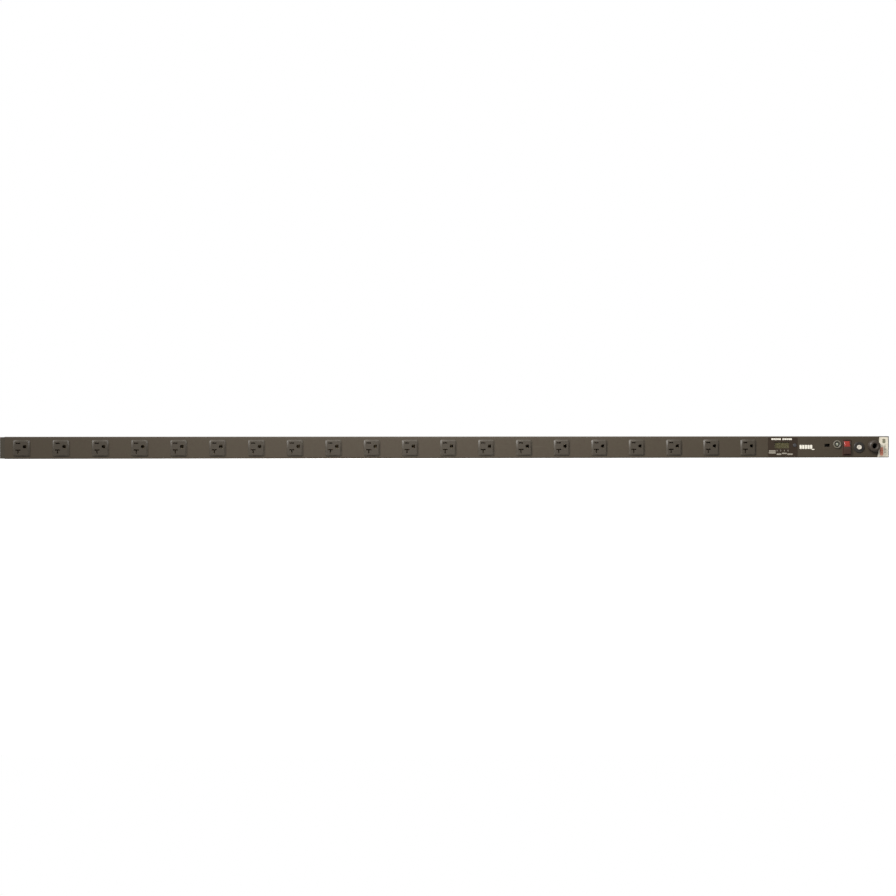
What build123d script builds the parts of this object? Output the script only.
import os
from math import atan, degrees

from build123d import *

# A metered rack power strip: a long folded steel channel with a row of raised
# outlets, and a meter, lamp, rocker switch, breaker and cord gland at its right end.
# X runs along the strip, the front faces -Y, and Z is up across its width.
# The origin is the middle of the back cover's outer face. All sizes are in mm.

# housing
width = 41.8
depth = 44.4
sheet = 1.2
bend_radius = 1.6
first_outlet = 34.4
outlet_count = 20
outlet_pitch = 73.025
control_length = 286.125
slip = 0.2
seat_gap = 0.3
reach = 1.0

# end caps and the back cover
left_cap_length = 9.0
right_cap_length = 1.5
cap_step = 0.6
cap_wall = 2.0
cap_spigot = 10.0
cap_radius = 1.0
cover_flange = 8.0
mount_inset = 75.625
nut_bore_radius = 2.5
nut_radius = 4.5
nut_flange_radius = 5.6
nut_depth = 4.0

# countersunk housing screws
screw_radius = 1.5
screw_head_radius = 2.7
screw_head_depth = 1.0
screw_length = 4.0
screw_clearance = 0.1
screws_per_side = 7
screw_inset = 45.0

# outlets: three-hole sockets with a T-shaped neutral slot
blade_spacing = 12.7
ground_offset = 11.9
blade_middle = 2.25
face_length = 30.7
face_height = 31.7
face_shift = 5.95
face_drop = 3.1
face_corner = 2.4
face_edge = 0.6
face_rise = 2.6
bevel_run = 2.8
face_wall = 3.0
flange_lip = 1.75
body_depth = 20.0
latch_length = 6.0
latch_depth = 3.0
latch_height = 0.9
slot_width = 2.2
hot_slot_length = 8.0
neutral_slot_length = 9.5
neutral_leg_reach = 7.1
ground_hole_radius = 3.3
ground_hole_flat = 3.5

# contacts and bus bars
blade_gap = 1.5
pin_gap = 5.0
leaf = 0.8
clip_base = 1.0
clip_depth = 15.0
hot_clip_length = 7.0
ground_clip_length = 6.2
contact_clearance = 0.3
bus_thickness = 2.0
bus_height = 4.5
ground_bus_height = 3.5
bus_overhang = 12.0
bus_tail = 35.0
support_length = 10.0
support_margin = 3.0
support_foot = 22.0
support_foot_depth = 2.0
support_rib = 1.2
outlets_per_support = 4

# meter
meter_from_end = 211.7
overlay_length = 58.6
overlay_margin = 1.6
overlay_thickness = 0.4
overlay_radius = 2.0
window_shift = -1.8
window_height_above = 3.55
window_length = 29.0
window_height = 12.1
fit_gap = 0.15
lcd_margin = 3.0
board_gap = 5.0
board_thickness = 1.6
board_length = 54.0
board_height = 32.0
standoff_radius = 2.4
standoff_inset = 3.2
button_shift = 23.7
button_radius = 3.5
button_proud = 0.8
button_flange = 1.2
button_flange_depth = 1.0
button_stem_radius = 1.5
button_travel = 0.5
button_clearance = 0.3
tact_side = 6.0
tact_depth = 1.8

# current transformer
transformer_from_end = 162.0
transformer_side = 13.2
transformer_length = 9.0
transformer_bore = 2.6

# link port, a modular socket behind a window
port_from_end = 123.25
port_height_above = 3.4
port_length = 10.6
port_height = 6.2
port_wall = 1.6
port_depth = 14.0
port_back = 2.0
pin_count = 6
pin_pitch = 1.27
pin_side = 0.4
pin_length = 8.0

# round indicator
lamp_from_end = 103.6
lamp_height_above = 5.2
bezel_radius = 8.25
bezel_proud = 2.4
bezel_chamfer = 0.9
barrel_radius = 6.2
barrel_depth = 16.0
lens_radius = 4.0
lens_dome = 1.6
lens_length = 6.0

# rocker switch
switch_from_end = 84.5
switch_height_above = -1.1
rocker_width = 13.4
rocker_length = 26.2
rocker_ridge = 4.6
rocker_end = 2.6
rocker_thickness = 5.4
rocker_clearance = 0.25
rocker_swing = 0.9
rocker_tilt = 7.0
pivot_depth = 1.4
pivot_radius = 1.0
pivot_running = 0.03
lens_inset = 1.2
lens_thickness = 0.8
tub_wall = 1.1
tub_floor = 2.0
tub_depth = 20.0
switch_bezel = 0.8
switch_bezel_proud = 1.6

# spade terminals of the switch and the breaker
spade_width = 6.3
spade_thickness = 0.8
spade_length = 7.0
spade_inside = 4.0
switch_spade_offset = 8.0
breaker_spade_offset = 5.0

# breaker
breaker_from_end = 60.2
breaker_height_above = -0.6
breaker_flange_radius = 10.6
breaker_flange_proud = 1.9
breaker_barrel_radius = 8.0
breaker_side = 15.0
breaker_depth = 20.0
breaker_back = 6.0
reset_radius = 4.35
reset_proud = 3.2
reset_travel = 3.5
reset_guide = 3.4
reset_edge = 0.8

# cord gland
gland_from_end = 31.5
gland_height_above = 1.8
cord_radius = 5.3
seal_wall = 1.9
gland_thread_wall = 1.7
gland_cap_radius = 11.5
gland_flange_proud = 3.0
gland_cap_proud = 9.0
gland_cap_lip = 1.8
gland_dome = 2.6
gland_inner_depth = 11.0
locknut_radius = 12.0
locknut_depth = 4.0
thread_clearance = 0.1

# terminal block and leads
block_length = 24.0
block_depth = 13.6
block_margin = 0.5
lead_radius = 1.8
lead_bend = 3.0
lead_row = 13.5
lead_insert = 6.0
lead_slant = 11.0
lead_clearance = 0.25

# rating label
label_from_end = 10.15
label_length = 16.7
label_margin = 1.8
label_thickness = 0.3

# planes and places that follow from the sizes above
length = first_outlet + (outlet_count - 1) * outlet_pitch + control_length
left_end = -length / 2
right_end = length / 2
mount_spacing = length - 2 * mount_inset
front = -depth
front_inside = front + sheet
back_inside = -sheet
inner_half = width / 2 - sheet
channel_left = left_end + left_cap_length
channel_right = right_end - right_cap_length
cover_left = channel_left + cap_spigot + slip
cover_right = channel_right - cap_spigot - slip
cover_half = inner_half - slip
flange_inside = cover_half - sheet
flange_middle = back_inside - cover_flange / 2

hot_z = blade_middle + blade_spacing / 2
neutral_z = blade_middle - blade_spacing / 2
face_front = front - face_rise
outlet_rear = front_inside + body_depth
outlet_z = blade_middle - face_drop
body_length = face_length - 2 * flange_lip
body_height = face_height - 2 * flange_lip
outlet_places = [left_end + first_outlet + outlet_pitch * i for i in range(outlet_count)]

bus_back = outlet_rear + bus_thickness
bus_start = outlet_places[0] - bus_overhang
bus_end = outlet_places[-1] + bus_tail

meter_x = right_end - meter_from_end
window_x = meter_x + window_shift
button_x = meter_x + button_shift
board_front = front_inside + board_gap
overlay_front = front - overlay_thickness
transformer_x = right_end - transformer_from_end
port_x = right_end - port_from_end
lamp_x = right_end - lamp_from_end
switch_x = right_end - switch_from_end
breaker_x = right_end - breaker_from_end
gland_x = right_end - gland_from_end
label_x = right_end - label_from_end

pivot_y = front + pivot_depth
well_width = rocker_width + 2 * rocker_clearance
well_length = rocker_length + 2 * rocker_swing
tub_width = well_width + 2 * tub_wall
tub_length = well_length + 2 * tub_wall
tub_back = front_inside + tub_depth
breaker_rear = front_inside + breaker_depth
reset_bore = reset_radius + button_clearance
reset_length = reset_proud + breaker_flange_proud + reset_travel + reset_guide
seal_radius = cord_radius + seal_wall
thread_radius = seal_radius + gland_thread_wall
lead_y = back_inside - slip - transformer_side / 2


def span(middle, size):
    return middle - size / 2, middle + size / 2


def block(x_range, y_range, z_range):
    ends = list(zip(x_range, y_range, z_range))
    size = [high - low for low, high in zip(*ends)]
    middle = [(high + low) / 2 for low, high in zip(*ends)]
    return Pos(*middle) * Box(*size)


def rod(x, y_range, z, radius):
    low, high = y_range
    return Pos(x, (low + high) / 2, z) * Rot(90, 0, 0) * Cylinder(radius, high - low)


def cross_pin(x_range, y, z, radius):
    low, high = x_range
    return Pos((low + high) / 2, y, z) * Rot(0, 90, 0) * Cylinder(radius, high - low)


# flat-headed screws stand in the top and bottom walls, with their heads flush
def screw_places():
    first = cover_left + screw_inset
    step = (cover_right - screw_inset - first) / (screws_per_side - 1)
    along = [first + step * i for i in range(screws_per_side)]
    caps = [channel_left + cap_spigot / 2, channel_right - cap_spigot / 2]
    return [(x, side) for x in along + caps for side in (1, -1)]


def screw_shape(x, side, gap):
    head = Cone(screw_head_radius + gap, screw_radius + gap, screw_head_depth)
    shank = Cylinder(screw_radius + gap, screw_length)
    down = Pos(0, 0, screw_head_depth / 2) * head + Pos(0, 0, screw_length / 2) * shank
    flip = Rot(180, 0, 0) if side > 0 else Rot(0, 0, 0)
    return Pos(x, flange_middle, side * width / 2) * flip * down


def housing_screws():
    return [screw_shape(x, side, 0) for x, side in screw_places()]


def cut_screws(shape):
    for x, side in screw_places():
        shape -= screw_shape(x, side, screw_clearance)
    return shape


def front_channel():
    x_range = (channel_left, channel_right)
    shell = block(x_range, (front, 0), (-width / 2, width / 2))
    shell = fillet(shell.edges().filter_by(Axis.X).group_by(Axis.Y)[0], bend_radius)
    hollow = block(
        (channel_left - reach, channel_right + reach),
        (front_inside, reach),
        (-inner_half, inner_half),
    )
    inner_bend = max(bend_radius - sheet, slip)
    hollow = fillet(hollow.edges().filter_by(Axis.X).group_by(Axis.Y)[0], inner_bend)
    shell -= hollow
    through = (front - reach, front_inside + reach)
    for x in outlet_places:
        shell -= block(
            span(x + face_shift, body_length + 2 * slip),
            through,
            span(outlet_z, body_height + 2 * slip),
        )
    shell -= block(
        span(window_x, window_length),
        through,
        span(window_height_above, window_height),
    )
    shell -= block(
        span(port_x, port_length), through, span(port_height_above, port_height)
    )
    shell -= block(
        span(switch_x, tub_width + 2 * fit_gap),
        through,
        span(switch_height_above, tub_length + 2 * fit_gap),
    )
    hole = button_radius + button_clearance
    shell -= rod(button_x, through, window_height_above, hole)
    shell -= rod(lamp_x, through, lamp_height_above, barrel_radius + fit_gap)
    barrel = breaker_barrel_radius + fit_gap
    shell -= rod(breaker_x, through, breaker_height_above, barrel)
    shell -= rod(gland_x, through, gland_height_above, thread_radius + fit_gap)
    return cut_screws(shell)


def mount_places():
    return [-mount_spacing / 2, mount_spacing / 2]


def mounting_nut(x):
    body = rod(x, (-nut_depth, 0), 0, nut_radius)
    collar = rod(x, (-nut_depth, back_inside), 0, nut_flange_radius)
    bore = rod(x, (-nut_depth - reach, reach), 0, nut_bore_radius)
    return body + collar - bore


def mounting_nuts():
    return [mounting_nut(x) for x in mount_places()]


def back_cover():
    x_range = (cover_left, cover_right)
    cover = block(x_range, (back_inside, 0), (-cover_half, cover_half))
    flange_y = (back_inside - cover_flange, back_inside)
    cover += block(x_range, flange_y, (flange_inside, cover_half))
    cover += block(x_range, flange_y, (-cover_half, -flange_inside))
    for x in mount_places():
        cover -= rod(x, (back_inside - reach, reach), 0, nut_radius)
    return cut_screws(cover)


# a cap is a plate over the housing's end, with a hollow spigot inside the channel
def end_cap(outer_x, plate_edge, inward, plate_step):
    half = width / 2 - plate_step
    plate = block(
        sorted((outer_x, plate_edge)), (front + plate_step, 0), (-half, half)
    )
    outer_face = plate.faces().sort_by(Axis.X)[0 if inward > 0 else -1]
    plate = fillet(outer_face.edges(), min(cap_radius, abs(plate_edge - outer_x) / 2))
    spigot_half = inner_half - slip
    spigot_x = sorted((plate_edge, plate_edge + inward * cap_spigot))
    plate += block(spigot_x, (front_inside + slip, 0), (-spigot_half, spigot_half))
    hollow_half = spigot_half - cap_wall
    hollow_x = sorted((plate_edge, plate_edge + inward * (cap_spigot + reach)))
    hollow_y = (front_inside + slip + cap_wall, -cap_wall)
    plate -= block(hollow_x, hollow_y, (-hollow_half, hollow_half))
    return cut_screws(plate)


def end_cap_left():
    return end_cap(left_end, channel_left, 1, cap_step)


def end_cap_right():
    return end_cap(right_end, channel_right, -1, 0)


def ground_hole(x, y_range):
    round_side = rod(x, y_range, blade_middle, ground_hole_radius)
    flat_side = block(
        (x, x + ground_hole_flat), y_range, span(blade_middle, 2 * ground_hole_radius)
    )
    cut = block(
        (x, x + ground_hole_flat + reach),
        y_range,
        span(blade_middle, 2 * ground_hole_radius),
    )
    return round_side - cut + flat_side


# the moulded outlet: a bevelled face over the sheet and a body through its window
def outlet(x):
    middle = x + face_shift
    plan = Rectangle(face_length, face_height)
    plan = chamfer(plan.vertices(), face_corner)
    seat = Plane(origin=(middle, front, outlet_z), x_dir=(1, 0, 0), z_dir=(0, -1, 0))
    crown_rise = face_rise - face_edge
    slope = degrees(atan(bevel_run / crown_rise))
    shape = extrude(seat * plan, amount=face_edge)
    shape += extrude(seat.offset(face_edge) * plan, amount=crown_rise, taper=slope)
    shape += block(
        span(middle, body_length), (front, outlet_rear), span(outlet_z, body_height)
    )
    latch_start = front_inside + slip
    shape += block(
        span(middle, latch_length),
        (latch_start, latch_start + latch_depth),
        span(outlet_z, body_height + 2 * latch_height),
    )
    slot_y = (face_front - reach, face_front + face_wall)
    cavity_y = (face_front + face_wall, outlet_rear + reach)
    cavity_height = blade_gap + 2 * leaf + 2 * contact_clearance
    cavity_length = neutral_slot_length
    shape -= block(span(x, hot_slot_length), slot_y, span(hot_z, slot_width))
    shape -= block(span(x, neutral_slot_length), slot_y, span(neutral_z, slot_width))
    leg_z = (neutral_z - neutral_leg_reach, neutral_z)
    shape -= block(span(x, slot_width), slot_y, leg_z)
    for z in (hot_z, neutral_z):
        shape -= block(span(x, cavity_length), cavity_y, span(z, cavity_height))
    leg_cavity_z = (neutral_z - neutral_leg_reach - contact_clearance, neutral_z)
    shape -= block(span(x, cavity_height), cavity_y, leg_cavity_z)
    ground_x = x + ground_offset
    shape -= ground_hole(ground_x, slot_y)
    shape -= block(
        span(ground_x, ground_clip_length + 2 * contact_clearance),
        cavity_y,
        span(blade_middle, pin_gap + 2 * leaf + 2 * contact_clearance),
    )
    return shape


# a contact is a folded strip: two leaves standing forward from a base
def clip(x, z, length_x, gap):
    outer = block(
        span(x, length_x), (outlet_rear - clip_depth, outlet_rear), span(z, gap + 2 * leaf)
    )
    throat = block(
        span(x, length_x + 2 * reach),
        (outlet_rear - clip_depth - reach, outlet_rear - clip_base),
        span(z, gap),
    )
    return outer - throat


def neutral_contact(x):
    main = clip(x, neutral_z, hot_clip_length, blade_gap)
    leg_top = neutral_z - blade_gap / 2 - leaf
    leg_z = (neutral_z - neutral_leg_reach, leg_top)
    outer = block(
        span(x, blade_gap + 2 * leaf), (outlet_rear - clip_depth, outlet_rear), leg_z
    )
    throat = block(
        span(x, blade_gap),
        (outlet_rear - clip_depth - reach, outlet_rear - clip_base),
        (leg_z[0] - reach, leg_z[1]),
    )
    return main + (outer - throat)


def hot_contacts():
    return [clip(x, hot_z, hot_clip_length, blade_gap) for x in outlet_places]


def neutral_contacts():
    return [neutral_contact(x) for x in outlet_places]


def ground_contacts():
    places = [x + ground_offset for x in outlet_places]
    return [clip(x, blade_middle, ground_clip_length, pin_gap) for x in places]


def bus_bar(z, height):
    return block((bus_start, bus_end), (outlet_rear, bus_back), span(z, height))


# a support stands on the back cover in a gap between outlets and carries the bars
def bus_support(x):
    low = neutral_z - bus_height / 2 - support_margin
    high = hot_z + bus_height / 2 + support_margin
    support = block(span(x, support_length), (bus_back, back_inside), (low, high))
    foot_y = (back_inside - support_foot_depth, back_inside)
    support += block(span(x, support_foot), foot_y, (low, high))
    for z in (hot_z, neutral_z):
        rib_z = span((z + blade_middle) / 2, support_rib)
        support += block(span(x, support_length), (outlet_rear, bus_back), rib_z)
    return support


def bus_supports():
    first = outlets_per_support // 2 - 1
    carried = outlet_places[first::outlets_per_support]
    return [bus_support(x + face_shift + outlet_pitch / 2) for x in carried]


def meter_overlay():
    height = width - 2 * overlay_margin - bend_radius
    plan = RectangleRounded(overlay_length, height, overlay_radius)
    seat = Plane(origin=(meter_x, front, 0), x_dir=(1, 0, 0), z_dir=(0, -1, 0))
    sheet_piece = extrude(seat * plan, amount=overlay_thickness)
    through = (overlay_front - reach, front + reach)
    sheet_piece -= block(
        span(window_x, window_length),
        through,
        span(window_height_above, window_height),
    )
    hole = button_radius + button_clearance
    return sheet_piece - rod(button_x, through, window_height_above, hole)


def meter_window():
    return block(
        span(window_x, window_length - 2 * fit_gap),
        (overlay_front, front_inside),
        span(window_height_above, window_height - 2 * fit_gap),
    )


def lcd_panel():
    return block(
        span(window_x, window_length + 2 * lcd_margin),
        (front_inside + seat_gap, board_front),
        span(window_height_above, window_height + 2 * lcd_margin),
    )


def standoff_places():
    across = board_length / 2 - standoff_inset
    up = board_height / 2 - standoff_inset
    return [(meter_x + i * across, j * up) for i in (-1, 1) for j in (-1, 1)]


def meter_board():
    board_y = (board_front, board_front + board_thickness)
    return block(span(meter_x, board_length), board_y, span(0, board_height))


def board_standoffs():
    y_range = (front_inside, board_front)
    return [rod(x, y_range, z, standoff_radius) for x, z in standoff_places()]


def select_button():
    flange_front = front_inside + button_clearance
    flange_back = flange_front + button_flange_depth
    stem_end = board_front - tact_depth - button_travel - button_clearance
    z = window_height_above
    cap = rod(button_x, (overlay_front - button_proud, flange_back), z, button_radius)
    flange = rod(
        button_x, (flange_front, flange_back), z, button_radius + button_flange
    )
    stem = rod(button_x, (flange_back - slip, stem_end), z, button_stem_radius)
    button = cap + flange + stem
    front_edge = button.edges().filter_by(GeomType.CIRCLE).sort_by(Axis.Y)[0]
    return fillet(front_edge, button_proud / 2)


def tact_switch():
    return block(
        span(button_x, tact_side),
        (board_front - tact_depth, board_front),
        span(window_height_above, tact_side),
    )


def current_transformer():
    body = block(
        span(transformer_x, transformer_length),
        span(lead_y, transformer_side),
        span(hot_z, transformer_side),
    )
    body = fillet(body.edges().filter_by(Axis.X), transformer_side / 6)
    ends = span(transformer_x, transformer_length + 2 * reach)
    foot = block(
        span(transformer_x, transformer_length),
        (lead_y, back_inside),
        span(hot_z, transformer_side / 2),
    )
    return body + foot - cross_pin(ends, lead_y, hot_z, transformer_bore)


def link_port():
    outer = block(
        span(port_x, port_length + 2 * port_wall),
        (front_inside, front_inside + port_depth),
        span(port_height_above, port_height + 2 * port_wall),
    )
    hollow = block(
        span(port_x, port_length),
        (front_inside - reach, front_inside + port_depth - port_back),
        span(port_height_above, port_height),
    )
    return outer - hollow


def link_port_pins():
    back = front_inside + port_depth - port_back
    top = port_height_above + port_height / 2
    first = port_x - pin_pitch * (pin_count - 1) / 2
    places = [first + pin_pitch * i for i in range(pin_count)]
    y_range = (back - pin_length, back)
    return [block(span(x, pin_side), y_range, (top - pin_side, top)) for x in places]


def indicator_bezel():
    flange = rod(lamp_x, (front - bezel_proud, front), lamp_height_above, bezel_radius)
    outer_edge = flange.edges().filter_by(GeomType.CIRCLE).sort_by(Axis.Y)[0]
    flange = chamfer(outer_edge, bezel_chamfer)
    barrel_y = (front, front_inside + barrel_depth)
    barrel = rod(lamp_x, barrel_y, lamp_height_above, barrel_radius)
    bore_y = (front - bezel_proud - reach, front - bezel_proud + lens_length)
    bore = rod(lamp_x, bore_y, lamp_height_above, lens_radius + fit_gap)
    return flange + barrel - bore


def indicator_lens():
    front_face = front - bezel_proud
    y_range = (front_face, front_face + lens_length)
    body = rod(lamp_x, y_range, lamp_height_above, lens_radius)
    # a cap of a ball whose height is the dome's and whose rim is the lens's
    ball = (lens_radius**2 + lens_dome**2) / (2 * lens_dome)
    centre_y = front_face - lens_dome + ball
    dome = Pos(lamp_x, centre_y, lamp_height_above) * Sphere(ball)
    slab = block(
        span(lamp_x, 4 * lens_radius),
        (front_face - lens_dome, front_face),
        span(lamp_height_above, 4 * lens_radius),
    )
    return body + (dome & slab)


def switch_frame():
    z = switch_height_above
    bezel = block(
        span(switch_x, tub_width + 2 * switch_bezel),
        (front - switch_bezel_proud, front),
        span(z, tub_length + 2 * switch_bezel),
    )
    bezel = fillet(bezel.edges().filter_by(Axis.Y), switch_bezel)
    rim = bezel.faces().sort_by(Axis.Y)[0]
    bezel = chamfer(rim.edges(), switch_bezel / 2)
    tub = block(span(switch_x, tub_width), (front, tub_back), span(z, tub_length))
    well = block(
        span(switch_x, well_width),
        (front - switch_bezel_proud - reach, tub_back - tub_floor),
        span(z, well_length),
    )
    frame = bezel + tub - well
    frame -= cross_pin(span(switch_x, tub_width + reach), pivot_y, z, pivot_radius)
    for spade_z in switch_spades():
        frame -= spade(switch_x, tub_back, spade_z, fit_gap)
    return frame


def switch_spades():
    z = switch_height_above
    return [z + switch_spade_offset, z - switch_spade_offset]


# the rocker is drawn level, then tipped to rest with its upper half pressed in
def tipped(shape):
    pivot = Pos(0, pivot_y, switch_height_above)
    return pivot * Rot(-rocker_tilt, 0, 0) * pivot.inverse() * shape


def rocker_outline(half, ridge, end, back):
    z = switch_height_above
    points = [(ridge, 0), (end, half), (back, half), (back, -half), (end, -half)]
    corners = [(switch_x - rocker_width / 2, front - y, z + up) for y, up in points]
    return Polyline(*corners, close=True)


def level_rocker():
    back = rocker_end - rocker_thickness
    outline = rocker_outline(rocker_length / 2, rocker_ridge, rocker_end, back)
    solid = extrude(make_face(outline), amount=rocker_width, dir=(1, 0, 0))
    bore = pivot_radius + pivot_running
    ends = span(switch_x, rocker_width + reach)
    return solid - cross_pin(ends, pivot_y, switch_height_above, bore)


# the lens is a thin plate let into the rocker's upper face
def lens_pocket(gap):
    half = rocker_length / 2
    slope = (rocker_ridge - rocker_end) / half
    low = lens_inset - gap
    high = half - lens_inset + gap
    z = switch_height_above
    width_x = rocker_width - 2 * lens_inset + 2 * gap
    levels = [(low, rocker_ridge - slope * low), (high, rocker_ridge - slope * high)]
    outer = [(y, up) for up, y in levels]
    inner = [(y - lens_thickness, up) for up, y in reversed(levels)]
    x0 = switch_x - width_x / 2
    corners = [(x0, front - y, z + up) for y, up in outer + inner]
    return extrude(make_face(Polyline(*corners, close=True)), amount=width_x, dir=(1, 0, 0))


def switch_rocker():
    return tipped(level_rocker() - lens_pocket(0))


def rocker_lens():
    return tipped(lens_pocket(0))


def switch_pin():
    x_range = span(switch_x, tub_width)
    return cross_pin(x_range, pivot_y, switch_height_above, pivot_radius)


def spade(x, case_back, z, gap):
    return block(
        span(x, spade_width + 2 * gap),
        (case_back - spade_inside, case_back + spade_length),
        span(z, spade_thickness + 2 * gap),
    )


def breaker_spades():
    z = breaker_height_above
    return [z + breaker_spade_offset, z - breaker_spade_offset]


def spade_terminals():
    switch = [spade(switch_x, tub_back, z, 0) for z in switch_spades()]
    breaker = [spade(breaker_x, breaker_rear, z, 0) for z in breaker_spades()]
    return switch + breaker


def breaker_body():
    z = breaker_height_above
    flange_y = (front - breaker_flange_proud, front)
    flange = rod(breaker_x, flange_y, z, breaker_flange_radius)
    rim = flange.edges().filter_by(GeomType.CIRCLE).sort_by(Axis.Y)[0]
    flange = fillet(rim, breaker_flange_proud / 2)
    barrel = rod(breaker_x, (front, front_inside), z, breaker_barrel_radius)
    case = block(
        span(breaker_x, breaker_side),
        (front_inside, breaker_rear),
        span(z, breaker_side),
    )
    bore_y = (front - breaker_flange_proud - reach, breaker_rear - breaker_back)
    body = flange + barrel + case - rod(breaker_x, bore_y, z, reset_bore)
    for spade_z in breaker_spades():
        body -= spade(breaker_x, breaker_rear, spade_z, fit_gap)
    return body


def breaker_button():
    z = breaker_height_above
    outer = front - breaker_flange_proud - reset_proud
    button = rod(breaker_x, (outer, outer + reset_length), z, reset_radius)
    rim = button.edges().filter_by(GeomType.CIRCLE).sort_by(Axis.Y)[0]
    return fillet(rim, reset_edge)


def gland_body():
    z = gland_height_above
    flange_y = (front - gland_flange_proud, front)
    flange = rod(gland_x, flange_y, z, gland_cap_radius)
    sleeve_front = front - gland_flange_proud - gland_cap_proud + gland_cap_lip + slip
    sleeve_y = (sleeve_front, front_inside + gland_inner_depth)
    sleeve = rod(gland_x, sleeve_y, z, thread_radius)
    bore_y = (sleeve_front - reach, sleeve_y[1] + reach)
    return flange + sleeve - rod(gland_x, bore_y, z, seal_radius + thread_clearance)


def gland_cap():
    z = gland_height_above
    outer = front - gland_flange_proud - gland_cap_proud
    inner = front - gland_flange_proud
    cap = rod(gland_x, (outer, inner), z, gland_cap_radius)
    rim = cap.edges().filter_by(GeomType.CIRCLE).sort_by(Axis.Y)[0]
    cap = fillet(rim, gland_dome)
    thread = thread_radius + thread_clearance
    cap -= rod(gland_x, (outer + gland_cap_lip, inner + reach), z, thread)
    return cap - rod(gland_x, (outer - reach, inner), z, cord_radius + slip)


def gland_seal():
    z = gland_height_above
    outer = front - gland_flange_proud - gland_cap_proud + gland_cap_lip
    seal = rod(gland_x, (outer + slip, front_inside), z, seal_radius)
    return seal - rod(gland_x, (outer - reach, front_inside + reach), z, cord_radius)


def gland_locknut():
    z = gland_height_above
    plane = Plane(
        origin=(gland_x, front_inside, z), x_dir=(1, 0, 0), z_dir=(0, 1, 0)
    )
    nut = extrude(plane * RegularPolygon(locknut_radius, 6), amount=locknut_depth)
    bore_y = (front_inside - reach, front_inside + locknut_depth + reach)
    return nut - rod(gland_x, bore_y, z, thread_radius + thread_clearance)


def lead_rows():
    return [lead_row, 0, -lead_row]


def terminal_block():
    half = flange_inside - block_margin
    body = block(
        span(gland_x, block_length), (back_inside - block_depth, back_inside), (-half, half)
    )
    bore = lead_radius + lead_clearance
    for z in lead_rows():
        body -= cross_pin(span(gland_x, block_length + reach), lead_y, z, bore)
    return body


def lead(points):
    path = FilletPolyline(*points, radius=lead_bend)
    start = Plane(origin=path @ 0, z_dir=path % 0)
    return sweep(start * Circle(lead_radius), path=path)


def block_end(z):
    return gland_x - block_length / 2 + lead_insert, lead_y, z


def to_bar(z):
    tail = bus_end - lead_radius - slip
    return [(tail, lead_y, z), (tail, bus_back + slip, z)]


def from_spade(x, case_back, z):
    start = case_back + spade_length + slip
    turn = max(lead_y, start + lead_bend + slip)  # room for the bend behind the spade
    return [(x, start, z), (x, turn, z)]


def hot_leads():
    upper, lower = breaker_spades()
    left, right = switch_spades()
    into_breaker = [block_end(lead_row), (breaker_x + lead_slant, lead_y, lead_row)]
    into_breaker += reversed(from_spade(breaker_x, breaker_rear, upper))
    link = from_spade(breaker_x, breaker_rear, lower)
    link += reversed(from_spade(switch_x, tub_back, right))
    out = from_spade(switch_x, tub_back, left)
    out += [(switch_x - lead_slant, lead_y, hot_z)] + to_bar(hot_z)
    return [lead(points) for points in (into_breaker, link, out)]


def return_leads():
    leads = []
    for row, z in ((0, blade_middle), (-lead_row, neutral_z)):
        approach = (bus_end + lead_slant, lead_y, row)
        leads.append(lead([block_end(row), approach] + to_bar(z)))
    return leads


def rating_label():
    half = width / 2 - bend_radius - label_margin
    return block(span(label_x, label_length), (front - label_thickness, front), (-half, half))


pieces = {
    "front_channel": front_channel,
    "back_cover": back_cover,
    "end_cap_left": end_cap_left,
    "end_cap_right": end_cap_right,
    "housing_screws": housing_screws,
    "mounting_nuts": mounting_nuts,
    "hot_contacts": hot_contacts,
    "neutral_contacts": neutral_contacts,
    "ground_contacts": ground_contacts,
    "hot_bus_bar": lambda: bus_bar(hot_z, bus_height),
    "neutral_bus_bar": lambda: bus_bar(neutral_z, bus_height),
    "ground_bus_bar": lambda: bus_bar(blade_middle, ground_bus_height),
    "bus_supports": bus_supports,
    "meter_overlay": meter_overlay,
    "meter_window": meter_window,
    "lcd_panel": lcd_panel,
    "meter_board": meter_board,
    "board_standoffs": board_standoffs,
    "select_button": select_button,
    "tact_switch": tact_switch,
    "current_transformer": current_transformer,
    "link_port": link_port,
    "link_port_pins": link_port_pins,
    "indicator_bezel": indicator_bezel,
    "indicator_lens": indicator_lens,
    "switch_frame": switch_frame,
    "switch_rocker": switch_rocker,
    "rocker_lens": rocker_lens,
    "switch_pin": switch_pin,
    "spade_terminals": spade_terminals,
    "breaker_body": breaker_body,
    "breaker_button": breaker_button,
    "gland_body": gland_body,
    "gland_cap": gland_cap,
    "gland_seal": gland_seal,
    "gland_locknut": gland_locknut,
    "terminal_block": terminal_block,
    "hot_leads": hot_leads,
    "return_leads": return_leads,
    "rating_label": rating_label,
}


def write(name, shape):
    solids = shape if isinstance(shape, list) else [shape]
    parts = [solid for item in solids for solid in item.solids()]
    export_step(Compound(children=parts), os.path.join("parts", name + ".step"))
    print(name, len(parts))


os.makedirs("parts", exist_ok=True)
for name, make in pieces.items():
    write(name, make())
for number, x in enumerate(outlet_places, start=1):
    write(f"outlet_{number:02d}", outlet(x))
